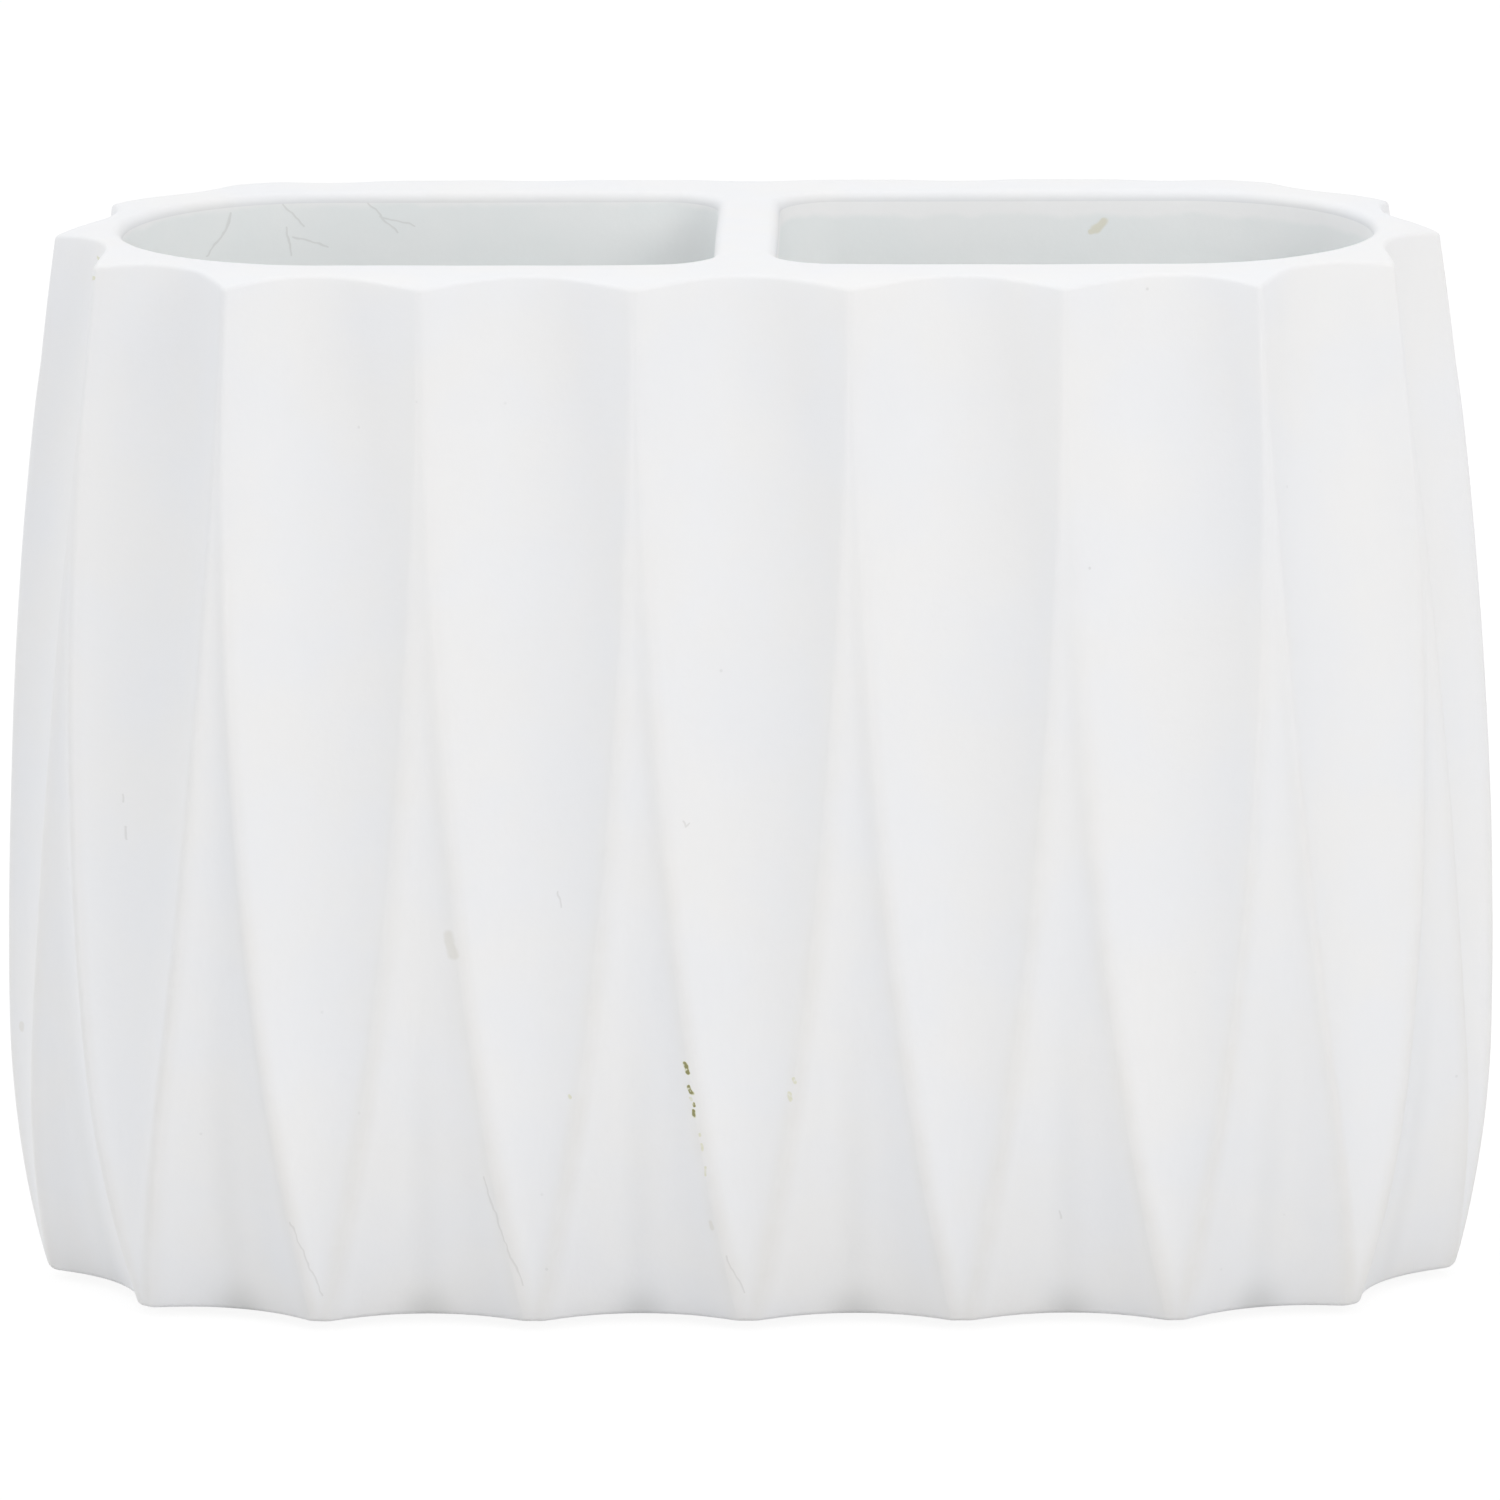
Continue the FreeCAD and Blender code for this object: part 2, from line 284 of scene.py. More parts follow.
def column_pitches(column, z):
    """Where a column lies at height z, in pitches from mid-front."""
    step = np.mod(column, COLUMNS)
    fold = np.minimum(step, COLUMNS - step)
    ridge = (1 - np.maximum(lower_share(z), LEAST_LOWER)) / 2
    in_upper = fold / UPPER_COLUMNS * (ridge - CREST_HALF)
    in_crest = ridge + ((fold - UPPER_COLUMNS) / CREST_COLUMNS * 2 - 1) * CREST_HALF
    past_crest = (fold - UPPER_COLUMNS - CREST_COLUMNS) / LOWER_COLUMNS
    in_lower = ridge + CREST_HALF + past_crest * (0.5 - ridge - CREST_HALF)
    part = np.where(fold < UPPER_COLUMNS, in_upper, np.where(past_crest < 0, in_crest, in_lower))
    return np.floor(column / COLUMNS) + np.where(step > COLUMNS / 2, 1 - part, part)


columns = np.arange(FLUTES / 4 * COLUMNS + 1)
print("quarter:", len(columns), "columns,", COLUMNS, "in each pitch")

# %% [markdown]
# ## The rim: a crown with soft edges
#
# The rim was rubbed down on a board and then rounded off, so it is flat near the compartments and
# falls away towards the ridges, which end a little lower than the valleys between them. Each column
# of the wall ends where it meets this crown. A Bevel modifier could round the edge there. Here a short
# curve with three control points does it for each column, with the masks of the wall's first row.

# %% Crown of the rim
CROWN_WIDTH = 4.2       # rounded margin of the rim, from the ridges inwards
CROWN_DROP = 0.6        # how much lower the ridges end than the flat of the rim
CORE = 1.0              # what is left of an end where the search for an inset stops
HALVINGS = 40
RIM_ROUNDS = 4


def oval_inset(spot):
    """How far inside the belly's oval a spot lies, found by halving."""
    beyond = np.maximum(np.abs(spot[..., 0]) - END_SPACING / 2, 0)
    low = np.full(beyond.shape, -RIM_INSET)
    high = np.full(beyond.shape, END_REACH - CORE)
    for _ in range(HALVINGS):
        inset = (low + high) / 2
        inside = (beyond / (END_REACH - inset)) ** 2 + (spot[..., 1] / (HALF_DEPTH - inset)) ** 2 < 1
        low = np.where(inside, inset, low)
        high = np.where(inside, high, inset)
    return low


def rim_height(spot):
    """Height of the crowned rim over a spot."""
    radius = (CROWN_WIDTH ** 2 + CROWN_DROP ** 2) / (2 * CROWN_DROP)
    run = np.clip(RIM_INSET + CROWN_WIDTH - oval_inset(spot), 0, None)
    return RIM_Z - radius + np.sqrt(radius ** 2 - run ** 2)


top_z = np.full(len(columns), RIM_Z)
for _ in range(RIM_ROUNDS):
    top_pitches = column_pitches(columns, top_z)
    corner = wall(top_pitches, top_z)[0]
    top_z = rim_height(corner[:, :2])
print("wall ends between", round(top_z.min(), 2), "and", round(top_z.max(), 2), "mm")

# %% The outer skin, from the crown's edge over the wall to the base
WALL_ROWS = 74
EDGE_ROWS = 5           # round the rim's outer edge
RIM_EDGE = 0.4          # softening of that edge
BASE_ROUND = 0.45       # what is left of the base edge after grinding
ROUNDING = np.radians(np.arange(15, 91, 15))    # turns of the rows round an edge
share_down = np.linspace(0, 1, WALL_ROWS)[:, None]
wall_z = (top_z - RIM_EDGE) * (1 - share_down) + (BASE_Z + BASE_ROUND) * share_down
wall_points, wall_masks = wall(column_pitches(columns[None], wall_z), wall_z)

crown_edge = corner[:, :2] - oval(top_pitches)[1] * RIM_EDGE
crown_edge = with_height(crown_edge, rim_height(crown_edge))
bend = np.linspace(0, 1, EDGE_ROWS + 1)[:-1, None, None]
edge_points = (1 - bend) ** 2 * crown_edge + 2 * bend * (1 - bend) * corner + bend ** 2 * wall_points[0]

base_turn = ROUNDING[:, None]
base_z = BASE_Z + BASE_ROUND * (1 - np.sin(base_turn)) + 0 * columns
base_draw = BASE_ROUND * (1 - np.cos(base_turn))
base_points, base_masks = wall(column_pitches(columns[None], base_z), base_z, base_draw)

skin = np.concatenate([edge_points, wall_points, base_points])
edge_masks = np.repeat(wall_masks[:, :1], EDGE_ROWS, 1)
skin_ridge, skin_valley = np.concatenate([edge_masks, wall_masks, base_masks], 1)
print("outer skin of the quarter:", skin.shape[0], "rows")

# %% [markdown]
# ## The compartments
#
# Each compartment is a D: straight along the divider, with rounded corners there, and round at the
# far end. The core that made it tapers by one degree so that it could be pulled out, its floor has a
# rounded edge, and the lip is eased so that the paint doesn't chip. All of these are the same outline,
# made larger or smaller, so one function of an offset and a row list of offsets and heights is enough.

# %% Outline of a compartment's front half
DIVIDER_THICKNESS = 5.2
DIVIDER_CORNER = 5.0
SIDE_RUN = WELL_RADIUS - DIVIDER_CORNER
FRONT_RUN = END_SPACING / 2 - DIVIDER_THICKNESS / 2 - DIVIDER_CORNER
CORNER_RUN = DIVIDER_CORNER * math.pi / 2
FAR_RUN = WELL_RADIUS * math.pi / 2
OUTLINE_LENGTHS = np.cumsum([0, SIDE_RUN, CORNER_RUN, FRONT_RUN, FAR_RUN])
MID_CORNER = OUTLINE_LENGTHS[1:3].mean()
FRONT_END, FAR_END = OUTLINE_LENGTHS[3:]


def mouth(length, offset):
    """Spots on the outline, from the divider's middle to the far end, moved outwards by offset."""
    place = np.interp(length, OUTLINE_LENGTHS, range(5))
    radius = WELL_RADIUS + offset
    bend = DIVIDER_CORNER + offset
    inner = DIVIDER_THICKNESS / 2 - offset
    front_run = END_SPACING / 2 - inner - bend
    turn = np.mod(place, 1) * math.pi / 2
    far_turn = (place - 3) * math.pi / 2
    stretches = [place < 1, place < 2, place < 3]
    x = np.select(
        stretches,
        [inner, inner + bend * (1 - np.cos(turn)), inner + bend + (place - 2) * front_run],
        END_SPACING / 2 + radius * np.sin(far_turn))
    y = np.select(
        stretches,
        [-place * (radius - bend), bend - radius - bend * np.sin(turn), -radius],
        -radius * np.cos(far_turn))
    return np.stack([x + 0 * length, y + 0 * length], -1)


print("outline of half a compartment:", round(FAR_END, 1), "mm")

# %% The top of the rim, over the columns of the divider and the wall
WELL_LIP = 0.9
DIVIDER_COLUMNS = 26
TOP_ROWS = 7            # from the crown's edge to the lip
belly_spot = oval(top_pitches)[0]
front_share = np.clip(belly_spot[:, 0] / (END_SPACING / 2), 0, 1)
past_front = np.maximum(belly_spot[:, 0] - END_SPACING / 2, 0)
end_turn = np.arctan2(past_front / END_REACH, -belly_spot[:, 1] / HALF_DEPTH)
wall_lengths = (MID_CORNER + front_share * (FRONT_END - MID_CORNER)
                + end_turn / QUARTER_TURN * (FAR_END - FRONT_END))
divider_share = np.arange(DIVIDER_COLUMNS) / DIVIDER_COLUMNS
lengths = np.concatenate([divider_share * MID_CORNER, wall_lengths])
outer_spots = np.concatenate([divider_share[:, None] * crown_edge[0, :2], crown_edge[:, :2]])

across = np.linspace(0, 1, TOP_ROWS)[:, None, None]
top_spots = outer_spots * (1 - across) + mouth(lengths, WELL_LIP) * across
top_points = with_height(top_spots, rim_height(top_spots))
print("top of the rim:", top_points.shape[0], "rows of", top_points.shape[1], "columns")

# %% A compartment, from its lip to the middle of its floor
WELL_DRAFT = math.tan(math.radians(1.0))
FLOOR_THICKNESS = 7.0
FLOOR_ROUND = 3.0
FLOOR_Z = BASE_Z + FLOOR_THICKNESS
SIDE_ROWS = 19          # down a compartment's side
FLOOR_ROWS = 6          # from the floor's edge to its middle
lip_rows = [(WELL_LIP * (1 - math.sin(turn)), RIM_Z - WELL_LIP * (1 - math.cos(turn)))
            for turn in ROUNDING]
side_rows = [(0, z) for z in np.linspace(RIM_Z - WELL_LIP, FLOOR_Z + FLOOR_ROUND, SIDE_ROWS)[1:]]
round_rows = [(FLOOR_ROUND * (math.cos(turn) - 1), FLOOR_Z + FLOOR_ROUND * (1 - math.sin(turn)))
              for turn in ROUNDING]
bowl_points = np.stack([with_height(mouth(lengths, offset - (RIM_Z - z) * WELL_DRAFT), z)
                        for offset, z in lip_rows + side_rows + round_rows])

floor_middle = np.array([(DIVIDER_THICKNESS / 2 + END_SPACING / 2 + WELL_RADIUS) / 2, 0, FLOOR_Z])
inwards = np.linspace(0, 1, FLOOR_ROWS)[1:, None, None]
floor_points = bowl_points[-1] * (1 - inwards) + floor_middle * inwards
bowl = np.concatenate([top_points[-1:], bowl_points, floor_points])
print("compartment:", bowl.shape[0], "rows of", bowl.shape[1], "columns, floor at", round(FLOOR_Z, 2))

# %% [markdown]
# ## The underside
#
# The casting stands on four soft feet, each in a shallow round recess. The flat underside first runs
# from the wall's last row to a plain oval inside all the valleys, and from there and from the two
# lines of symmetry to the rim of the recess. One large face would do for a flat surface, but long thin
# triangles shade badly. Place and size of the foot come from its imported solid.

# %% Underside of the quarter
UNDER_INSET = 6.0       # of the plain oval, from the base's ridges
SEAT_CLEARANCE = 0.15   # round a foot
LINE_COLUMNS = 16       # along each line of symmetry
UNDER_ROWS = 5          # of each of the underside's rings
SEAT_ROWS = 4           # up the wall of a recess
foot_low, foot_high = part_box("foot_front_right")
foot_middle = np.array((foot_low + foot_high) / 2)[:2] / MM
FOOT_RADIUS = (foot_high.x - foot_low.x) / 2 / MM
FOOT_THICKNESS = foot_high.z / MM
SEAT_RADIUS = FOOT_RADIUS + SEAT_CLEARANCE

base_place, base_normal, _ = oval(column_pitches(columns, np.full(len(columns), BASE_Z)))
plain_oval = base_place - base_normal * (BASE_INSET + UNDER_INSET)
inwards = np.linspace(0, 1, UNDER_ROWS)[:, None, None]
under_edge = with_height(skin[-1][:, :2] * (1 - inwards) + plain_oval * inwards, BASE_Z)

line = (np.arange(LINE_COLUMNS) / LINE_COLUMNS)[:, None]
ring = np.concatenate([plain_oval, plain_oval[-1] * (1 - line[1:]), plain_oval[0] * line, plain_oval[:1]])
from_foot = ring - foot_middle
seat = foot_middle + from_foot / np.linalg.norm(from_foot, axis=1)[:, None] * SEAT_RADIUS
under_flat = with_height(ring * (1 - inwards) + seat * inwards, BASE_Z)
seat_wall = np.stack([with_height(seat, z) for z in np.linspace(BASE_Z, FOOT_THICKNESS, SEAT_ROWS)[1:]])
seat_roof = with_height(seat * (1 - inwards[1:]) + foot_middle * inwards[1:], FOOT_THICKNESS)
underside = np.concatenate([under_flat, seat_wall, seat_roof])
print("foot recess at", foot_middle.round(1).tolist(), "radius", round(SEAT_RADIUS, 2))

# %% [markdown]
# ## From grids to one closed mesh
#
# The grids share their border points, so welding points that lie on each other joins them, and turns
# the rows that shrink to a point into fans. Each grid also says which of three finishes it gets:
# painted outside, which takes in the lips, bare inside the compartments, or ground underneath. How near
# a point lies to a ridge or a valley is remembered as an attribute, which is more exact than guessing
# edges from curvature.

# %% Weld the quarter
WELD = 0.0004 * MM
OUTSIDE, INSIDE, UNDERNEATH = range(3)
quarter = bmesh.new()
ridge_layer = quarter.verts.layers.float.new("ridge")
valley_layer = quarter.verts.layers.float.new("valley")


def add_grid(points, finish, ridges=0.0, valleys=0.0):
    """Adds a grid of points to the quarter as quads, with its finish and its masks."""
    rows, width = points.shape[:2]
    made = [quarter.verts.new(point * MM) for point in points.reshape(-1, 3)]
    for layer, mask in ((ridge_layer, ridges), (valley_layer, valleys)):
        for vertex, value in zip(made, np.broadcast_to(mask, (rows, width)).ravel()):
            vertex[layer] = value
    for row in range(rows - 1):
        for column in range(width - 1):
            first = row * width + column
            around = (first, first + 1, first + width + 1, first + width)
            face = quarter.faces.new([made[number] for number in around])
            face.material_index = finish
            face.smooth = True


lip_end = len(lip_rows)
add_grid(skin, OUTSIDE, skin_ridge, skin_valley)
add_grid(top_points, OUTSIDE)
add_grid(bowl[:lip_end + 1], OUTSIDE)
add_grid(bowl[lip_end:], INSIDE)
add_grid(under_edge, UNDERNEATH)
add_grid(underside, UNDERNEATH)
bmesh.ops.remove_doubles(quarter, verts=quarter.verts, dist=WELD)
bmesh.ops.recalc_face_normals(quarter, faces=quarter.faces)
casting_mesh = bpy.data.meshes.new("casting")
quarter.to_mesh(casting_mesh)
quarter.free()
print("quarter:", len(casting_mesh.vertices), "points")

# %% Mirror it
casting = bpy.data.objects.new("casting", casting_mesh)
bpy.context.scene.collection.objects.link(casting)
mirror = casting.modifiers.new("four quarters", "MIRROR")
mirror.use_axis = (True, True, False)
mirror.merge_threshold = WELD
bpy.context.view_layer.objects.active = casting
bpy.ops.object.modifier_apply(modifier=mirror.name)
print("casting:", len(casting.data.vertices), "points,", len(casting.data.polygons), "faces")

# %% [markdown]
# ## A little out of true
#
# A casting taken warm from a soft mould is never quite true, and sprayed paint gathers a little. Slow
# waves of about a tenth of a millimetre break up the perfect reflections that give a computer model
# away. A Displace modifier could make them, but here they have to fade out towards the base, so that
# the casting still sits flat on its feet, and a formula over the points says that in one line.

# %% Slow waves on the casting
WAVES = ((24.0, 0.10), (7.0, 0.03))     # size and height of each set of waves
WAVES_FROM = 6.0                        # full height from here above the base
WAVE_SEED = Vector((3.7, 11.2, 5.9))


def read_points(mesh, field):
    """Places or normals of a mesh's points as an array."""
    values = np.empty(len(mesh.vertices) * 3)
    mesh.vertices.foreach_get(field, values)
    return values.reshape(-1, 3)


places = read_points(casting.data, "co")
waves = np.zeros(len(places))
for size, height in WAVES:
    waves += [height * noise.noise(Vector(place) / (size * MM) + WAVE_SEED) for place in places]
waves *= np.clip((places[:, 2] / MM - BASE_Z) / WAVES_FROM, 0, 1)
places += read_points(casting.data, "normal") * waves[:, None] * MM
casting.data.vertices.foreach_set("co", places.ravel())
casting.data.update()
print("waves between", round(waves.min(), 3), "and", round(waves.max(), 3), "mm")

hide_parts("fluted_body")
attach(casting, "root")

# %% [markdown]
# ## The feet
#
# The feet are small moulded pads, stuck into the recesses. Such a pad has a rounded standing edge, a
# shallow dimple that helps it to grip and a slight taper that lets it out of its mould. It is turned
# from one profile, like a bowl on a lathe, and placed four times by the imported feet. A Screw modifier
# would turn it too, but rings written out by a loop need nothing applied.

# %% Profile of a foot
FOOT_EDGE = 0.5         # rounding of the standing edge
FOOT_TAPER = 0.12
FOOT_TOP_EDGE = 0.2     # easing of the top edge
FOOT_TOP_BEND = 0.06    # and how near its middle comes to the corner
STAND_MARGIN = 0.4      # between the flat ring that it stands on and its dimple or edge
DIMPLE_RADIUS = 2.2
DIMPLE_DEPTH = 0.22
DIMPLE_STEPS = 10


def foot_profile():
    """Radius and height along a foot's outline, from its standing middle to the middle of its top."""
    steps = [step / DIMPLE_STEPS for step in range(DIMPLE_STEPS + 1)]
    dimple = [(DIMPLE_RADIUS * step, DIMPLE_DEPTH * (1 + math.cos(math.pi * step)) / 2) for step in steps]
    stand = [(DIMPLE_RADIUS + STAND_MARGIN, 0), (FOOT_RADIUS - FOOT_EDGE - STAND_MARGIN, 0)]
    edge = [(FOOT_RADIUS - FOOT_EDGE * (1 - math.sin(turn)), FOOT_EDGE * (1 - math.cos(turn)))
            for turn in (0, *ROUNDING)]
    narrow = FOOT_RADIUS - FOOT_TAPER
    top = [(narrow, FOOT_THICKNESS - FOOT_TOP_EDGE),
           (narrow - FOOT_TOP_BEND, FOOT_THICKNESS - FOOT_TOP_BEND),
           (narrow - FOOT_TOP_EDGE, FOOT_THICKNESS)]
    return dimple + stand + edge + top + [(0, FOOT_THICKNESS)]


profile = foot_profile()
print("foot:", len(profile), "points in its profile,", round(2 * FOOT_RADIUS, 1), "mm across")

# %% Four moulded feet
FOOT_SEGMENTS = 72


def turned(name, outline):
    """A mesh turned from an outline of radii and heights."""
    body = bmesh.new()
    turns = np.linspace(0, 2 * math.pi, FOOT_SEGMENTS, endpoint=False)
    rings = [[body.verts.new((r * math.cos(t) * MM, r * math.sin(t) * MM, z * MM)) for t in turns]
             for r, z in outline]
    for lower, upper in zip(rings, rings[1:]):
        for step in range(FOOT_SEGMENTS):
            face = body.faces.new([lower[step - 1], lower[step], upper[step], upper[step - 1]])
            face.smooth = True
    bmesh.ops.remove_doubles(body, verts=body.verts, dist=WELD)
    bmesh.ops.recalc_face_normals(body, faces=body.faces)
    mesh = bpy.data.meshes.new(name)
    body.to_mesh(mesh)
    body.free()
    return mesh


foot_mesh = turned("foot", profile)
feet = []
for node in sorted(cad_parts):
    if node.startswith("foot_"):
        low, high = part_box(node)
        foot = bpy.data.objects.new(node.replace("foot_", "pad_"), foot_mesh)
        foot.location = ((low.x + high.x) / 2, (low.y + high.y) / 2, low.z)
        bpy.context.scene.collection.objects.link(foot)
        feet.append(foot)
        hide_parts(node)
        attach(foot, "root")
print("feet:", ", ".join(foot.name for foot in feet))

# %% [markdown]
# ## Finishes: small tools first
#
# A finish is a graph of nodes. It could be drawn by hand in the Shader Editor, but written out it can
# be read and changed in one place. A few helpers keep the graphs short: they add a node and fill its
# sockets, do a sum, fade between two values or mix two colours. What more than one finish needs becomes
# a node group: mottling, fine grain and a mark between two points.

# %% Node helpers
def add(tree, kind, inputs=None, **settings):
    """Adds a node, sets its settings and fills its sockets with values or with other nodes' outputs."""
    node = tree.nodes.new(kind)
    for setting, value in settings.items():
        setattr(node, setting, value)
    for socket, value in (inputs or {}).items():
        if isinstance(value, bpy.types.NodeSocket):
            tree.links.new(value, node.inputs[socket])
        else:
            node.inputs[socket].default_value = value
    return node


def calc(tree, operation, *values):
    """One sum on values."""
    return add(tree, "ShaderNodeMath", dict(enumerate(values)), operation=operation).outputs[0]


def product(tree, first, *others):
    """Values multiplied together."""
    for other in others:
        first = calc(tree, "MULTIPLY", first, other)
    return first


def ramp(tree, value, least, rise):
    """Goes from least, where a value is 0, up by rise, where it is 1."""
    return calc(tree, "MULTIPLY_ADD", value, rise, least)


def fade(tree, value, start, end):
    """0 before start, 1 after end, smooth between them."""
    inputs = {0: value, 1: start, 2: end}
    return add(tree, "ShaderNodeMapRange", inputs, interpolation_type="SMOOTHSTEP").outputs[0]


def vector(tree, operation, *values):
    """One sum on vectors."""
    return add(tree, "ShaderNodeVectorMath", dict(enumerate(values)), operation=operation).outputs


def scaled(tree, value, factor):
    """A vector made longer or shorter."""
    return add(tree, "ShaderNodeVectorMath", {0: value, "Scale": factor}, operation="SCALE").outputs[0]


def mixed(tree, factor, first, second):
    """A mix of two colours."""
    return add(tree, "ShaderNodeMix", {0: factor, 6: first, 7: second}, data_type="RGBA").outputs[2]


def colour(red, green, blue):
    """A colour as a shader socket takes it."""
    return (red, green, blue, 1.0)


def noise_at(tree, spot, scale, detail):
    """A noise texture's outputs."""
    return add(tree, "ShaderNodeTexNoise", {"Vector": spot, "Scale": scale, "Detail": detail}).outputs


helpers = (add, calc, product, ramp, fade, vector, scaled, mixed, colour, noise_at)
print("node helpers:", ", ".join(helper.__name__ for helper in helpers))

# %% Node groups, and mottling: soft clouds
VECTOR = "NodeSocketVector"
NUMBER = "NodeSocketFloat"
CLOUD_EDGES = (0.32, 0.68)      # of the noise, where a cloud begins and is full


def new_group(name, sockets, output):
    """An empty node group that puts out a number, and the sockets inside it."""
    group = bpy.data.node_groups.new(name, "ShaderNodeTree")
    for socket, kind in sockets:
        group.interface.new_socket(socket, in_out="INPUT", socket_type=kind)
    group.interface.new_socket(output, in_out="OUTPUT", socket_type=NUMBER)
    return group, group.nodes.new("NodeGroupInput").outputs, group.nodes.new("NodeGroupOutput").inputs[0]


def use(tree, group, **inputs):
    """Puts a node group to use and returns its output."""
    return add(tree, "ShaderNodeGroup", inputs, node_tree=group).outputs[0]


mottle, given, result = new_group("mottle", [("Spot", VECTOR), ("Scale", NUMBER)], "Value")
clouds = noise_at(mottle, given["Spot"], given["Scale"], detail=3.0)[0]
mottle.links.new(fade(mottle, clouds, *CLOUD_EDGES), result)
print("mottling:", len(mottle.nodes), "nodes")

# %% Grain: fine bumps of sprayed paint or moulded rubber
grain, given, result = new_group("grain", [("Spot", VECTOR), ("Scale", NUMBER)], "Height")
grain.links.new(noise_at(grain, given["Spot"], given["Scale"], detail=2.0)[0], result)
print("grain:", len(grain.nodes), "nodes")

# %% A mark: how near a spot is to the line between two points
MARK_EDGES = (1.0, 0.4)         # shares of its width, where a mark begins and is full
mark, given, result = new_group(
    "mark", [("Spot", VECTOR), ("Start", VECTOR), ("End", VECTOR), ("Width", NUMBER)], "Mask")
run = vector(mark, "SUBTRACT", given["End"], given["Start"])[0]
reach = vector(mark, "SUBTRACT", given["Spot"], given["Start"])[0]
ahead = vector(mark, "DOT_PRODUCT", reach, run)["Value"]
whole = vector(mark, "DOT_PRODUCT", run, run)["Value"]
part = add(mark, "ShaderNodeClamp", {0: calc(mark, "DIVIDE", ahead, whole)}).outputs[0]
away = vector(mark, "DISTANCE", reach, scaled(mark, run, part))["Value"]
mark.links.new(fade(mark, calc(mark, "DIVIDE", away, given["Width"]), *MARK_EDGES), result)
print("mark:", len(mark.nodes), "nodes")

# %% [markdown]
# ## The paint outside
#
# Matt white paint is never one white, so its tone drifts between a cooler and a warmer one. Hands and
# cloths have rubbed the ridges, which show a trace of the warmer resin, most of all low down. Shade is
# painted in as grey: at the foot of the valleys in front, where the floor shades them, and faintly
# along the valleys of the lower grooves, low down. A few marks make the holder one that has been used:
# olive chips along the edges of the middle petals, fainter ones around them, hairlines in the creases
# near the base and some pale olive rubs. They could be painted on an unwrapped image, but a picture has
# a fixed sharpness and has to be stored. So each mark is a line between two points on the front, seen
# straight on, in millimetres across and up. The order follows how a real surface comes to be, paint,
# wear, marks, and the painted shade and the specks go in after the wear.

# %% A new finish, and its surface
def new_finish(name):
    """A new material, its tree, its shader and the place on the piece in millimetres."""
    finish = bpy.data.materials.new(name)
    finish.use_nodes = True
    tree = finish.node_tree
    place = add(tree, "ShaderNodeTexCoord").outputs["Object"]
    return finish, tree, tree.nodes["Principled BSDF"], scaled(tree, place, 1 / MM)


def surface(tree, shader, tone, roughness, height, depth):
    """Gives a finish its colour, its roughness and bumps of a depth."""
    bumps = add(tree, "ShaderNodeBump", {"Distance": depth, "Height": height}).outputs[0]
    for socket, value in (("Base Color", tone), ("Roughness", roughness), ("Normal", bumps)):
        tree.links.new(value, shader.inputs[socket])


paint, tree, shader, spot = new_finish("matt_paint")
print(paint.name, "starts with", len(tree.nodes), "nodes")

# %% Paint and wear
COOL_WHITE = colour(0.836, 0.843, 0.862)
WARM_WHITE = colour(0.848, 0.847, 0.850)
RUBBED = colour(0.765, 0.750, 0.722)
WEAR_BY_PATCHES = (0.34, 0.15)  # least wear of a ridge, and what the patches add
WEAR_BY_HEIGHT = (0.2, 0.75)    # share of it high up, and what is added low down
LOW_DOWN = (75.0, 12.0)         # heights where that begins and is full
across, deep, up = add(tree, "ShaderNodeSeparateXYZ", {0: spot}).outputs
patches = use(tree, mottle, Spot=spot, Scale=0.35)
ridge = add(tree, "ShaderNodeAttribute", attribute_name="ridge").outputs["Fac"]
low_down = fade(tree, up, *LOW_DOWN)
worn = product(tree, fade(tree, ridge, 0.0, 1.0), ramp(tree, patches, *WEAR_BY_PATCHES),
               ramp(tree, low_down, *WEAR_BY_HEIGHT))
drift = use(tree, mottle, Spot=spot, Scale=0.10)
tone = mixed(tree, worn, mixed(tree, drift, COOL_WHITE, WARM_WHITE), RUBBED)
print("paint and wear:", len(tree.nodes), "nodes so far")

# %% Painted shade at the foot of the valleys and along the lower creases, and specks
# one grey for the painted shade in the valleys and for the specks of dirt
SPECK_AND_SHADE_GREY = colour(0.40, 0.41, 0.40)
CREASE_WIDTH = (0.4, 1.0)       # of the valley's mask, where the painted shade of a crease begins and is full
CREASE_HEIGHTS = (36.0, 12.0)   # heights where it begins and is full
CREASE_SHADE_STRENGTH = 0.06
FOOT_SHADE_HEIGHT = 5.0              # above the base
FOOT_SHADE_ENDS = (52.0, 44.0)       # from the middle to where the painted shade begins and is full
FOOT_SHADE_STRENGTH = 0.3
SPECK_SCALE = 0.2
SPECK_SIZE = (0.036, 0.016)     # in cells of the specks' pattern, where a speck begins and is full
SPECK_STRENGTH = 0.25
valley = add(tree, "ShaderNodeAttribute", attribute_name="valley").outputs["Fac"]
# painted shade: a faint grey line along the valleys of the lower grooves, low down
crease_shade = product(tree, fade(tree, valley, *CREASE_WIDTH), fade(tree, up, *CREASE_HEIGHTS), CREASE_SHADE_STRENGTH)
tone = mixed(tree, crease_shade, tone, SPECK_AND_SHADE_GREY)
# painted shadow: grey at the foot of the valleys in front, where the floor shades them
at_foot = calc(tree, "POWER", fade(tree, up, BASE_Z + FOOT_SHADE_HEIGHT, BASE_Z), 2.0)
not_at_ends = fade(tree, calc(tree, "ABSOLUTE", across), *FOOT_SHADE_ENDS)
foot_shade = product(tree, at_foot, fade(tree, valley, 0.0, 1.0), not_at_ends, FOOT_SHADE_STRENGTH)
tone = mixed(tree, foot_shade, tone, SPECK_AND_SHADE_GREY)
dots = add(tree, "ShaderNodeTexVoronoi", {"Vector": spot, "Scale": SPECK_SCALE}).outputs["Distance"]
specks = product(tree, fade(tree, dots, *SPECK_SIZE), patches, SPECK_STRENGTH)
tone = mixed(tree, specks, tone, SPECK_AND_SHADE_GREY)
print("painted shade and specks:", len(tree.nodes), "nodes so far")

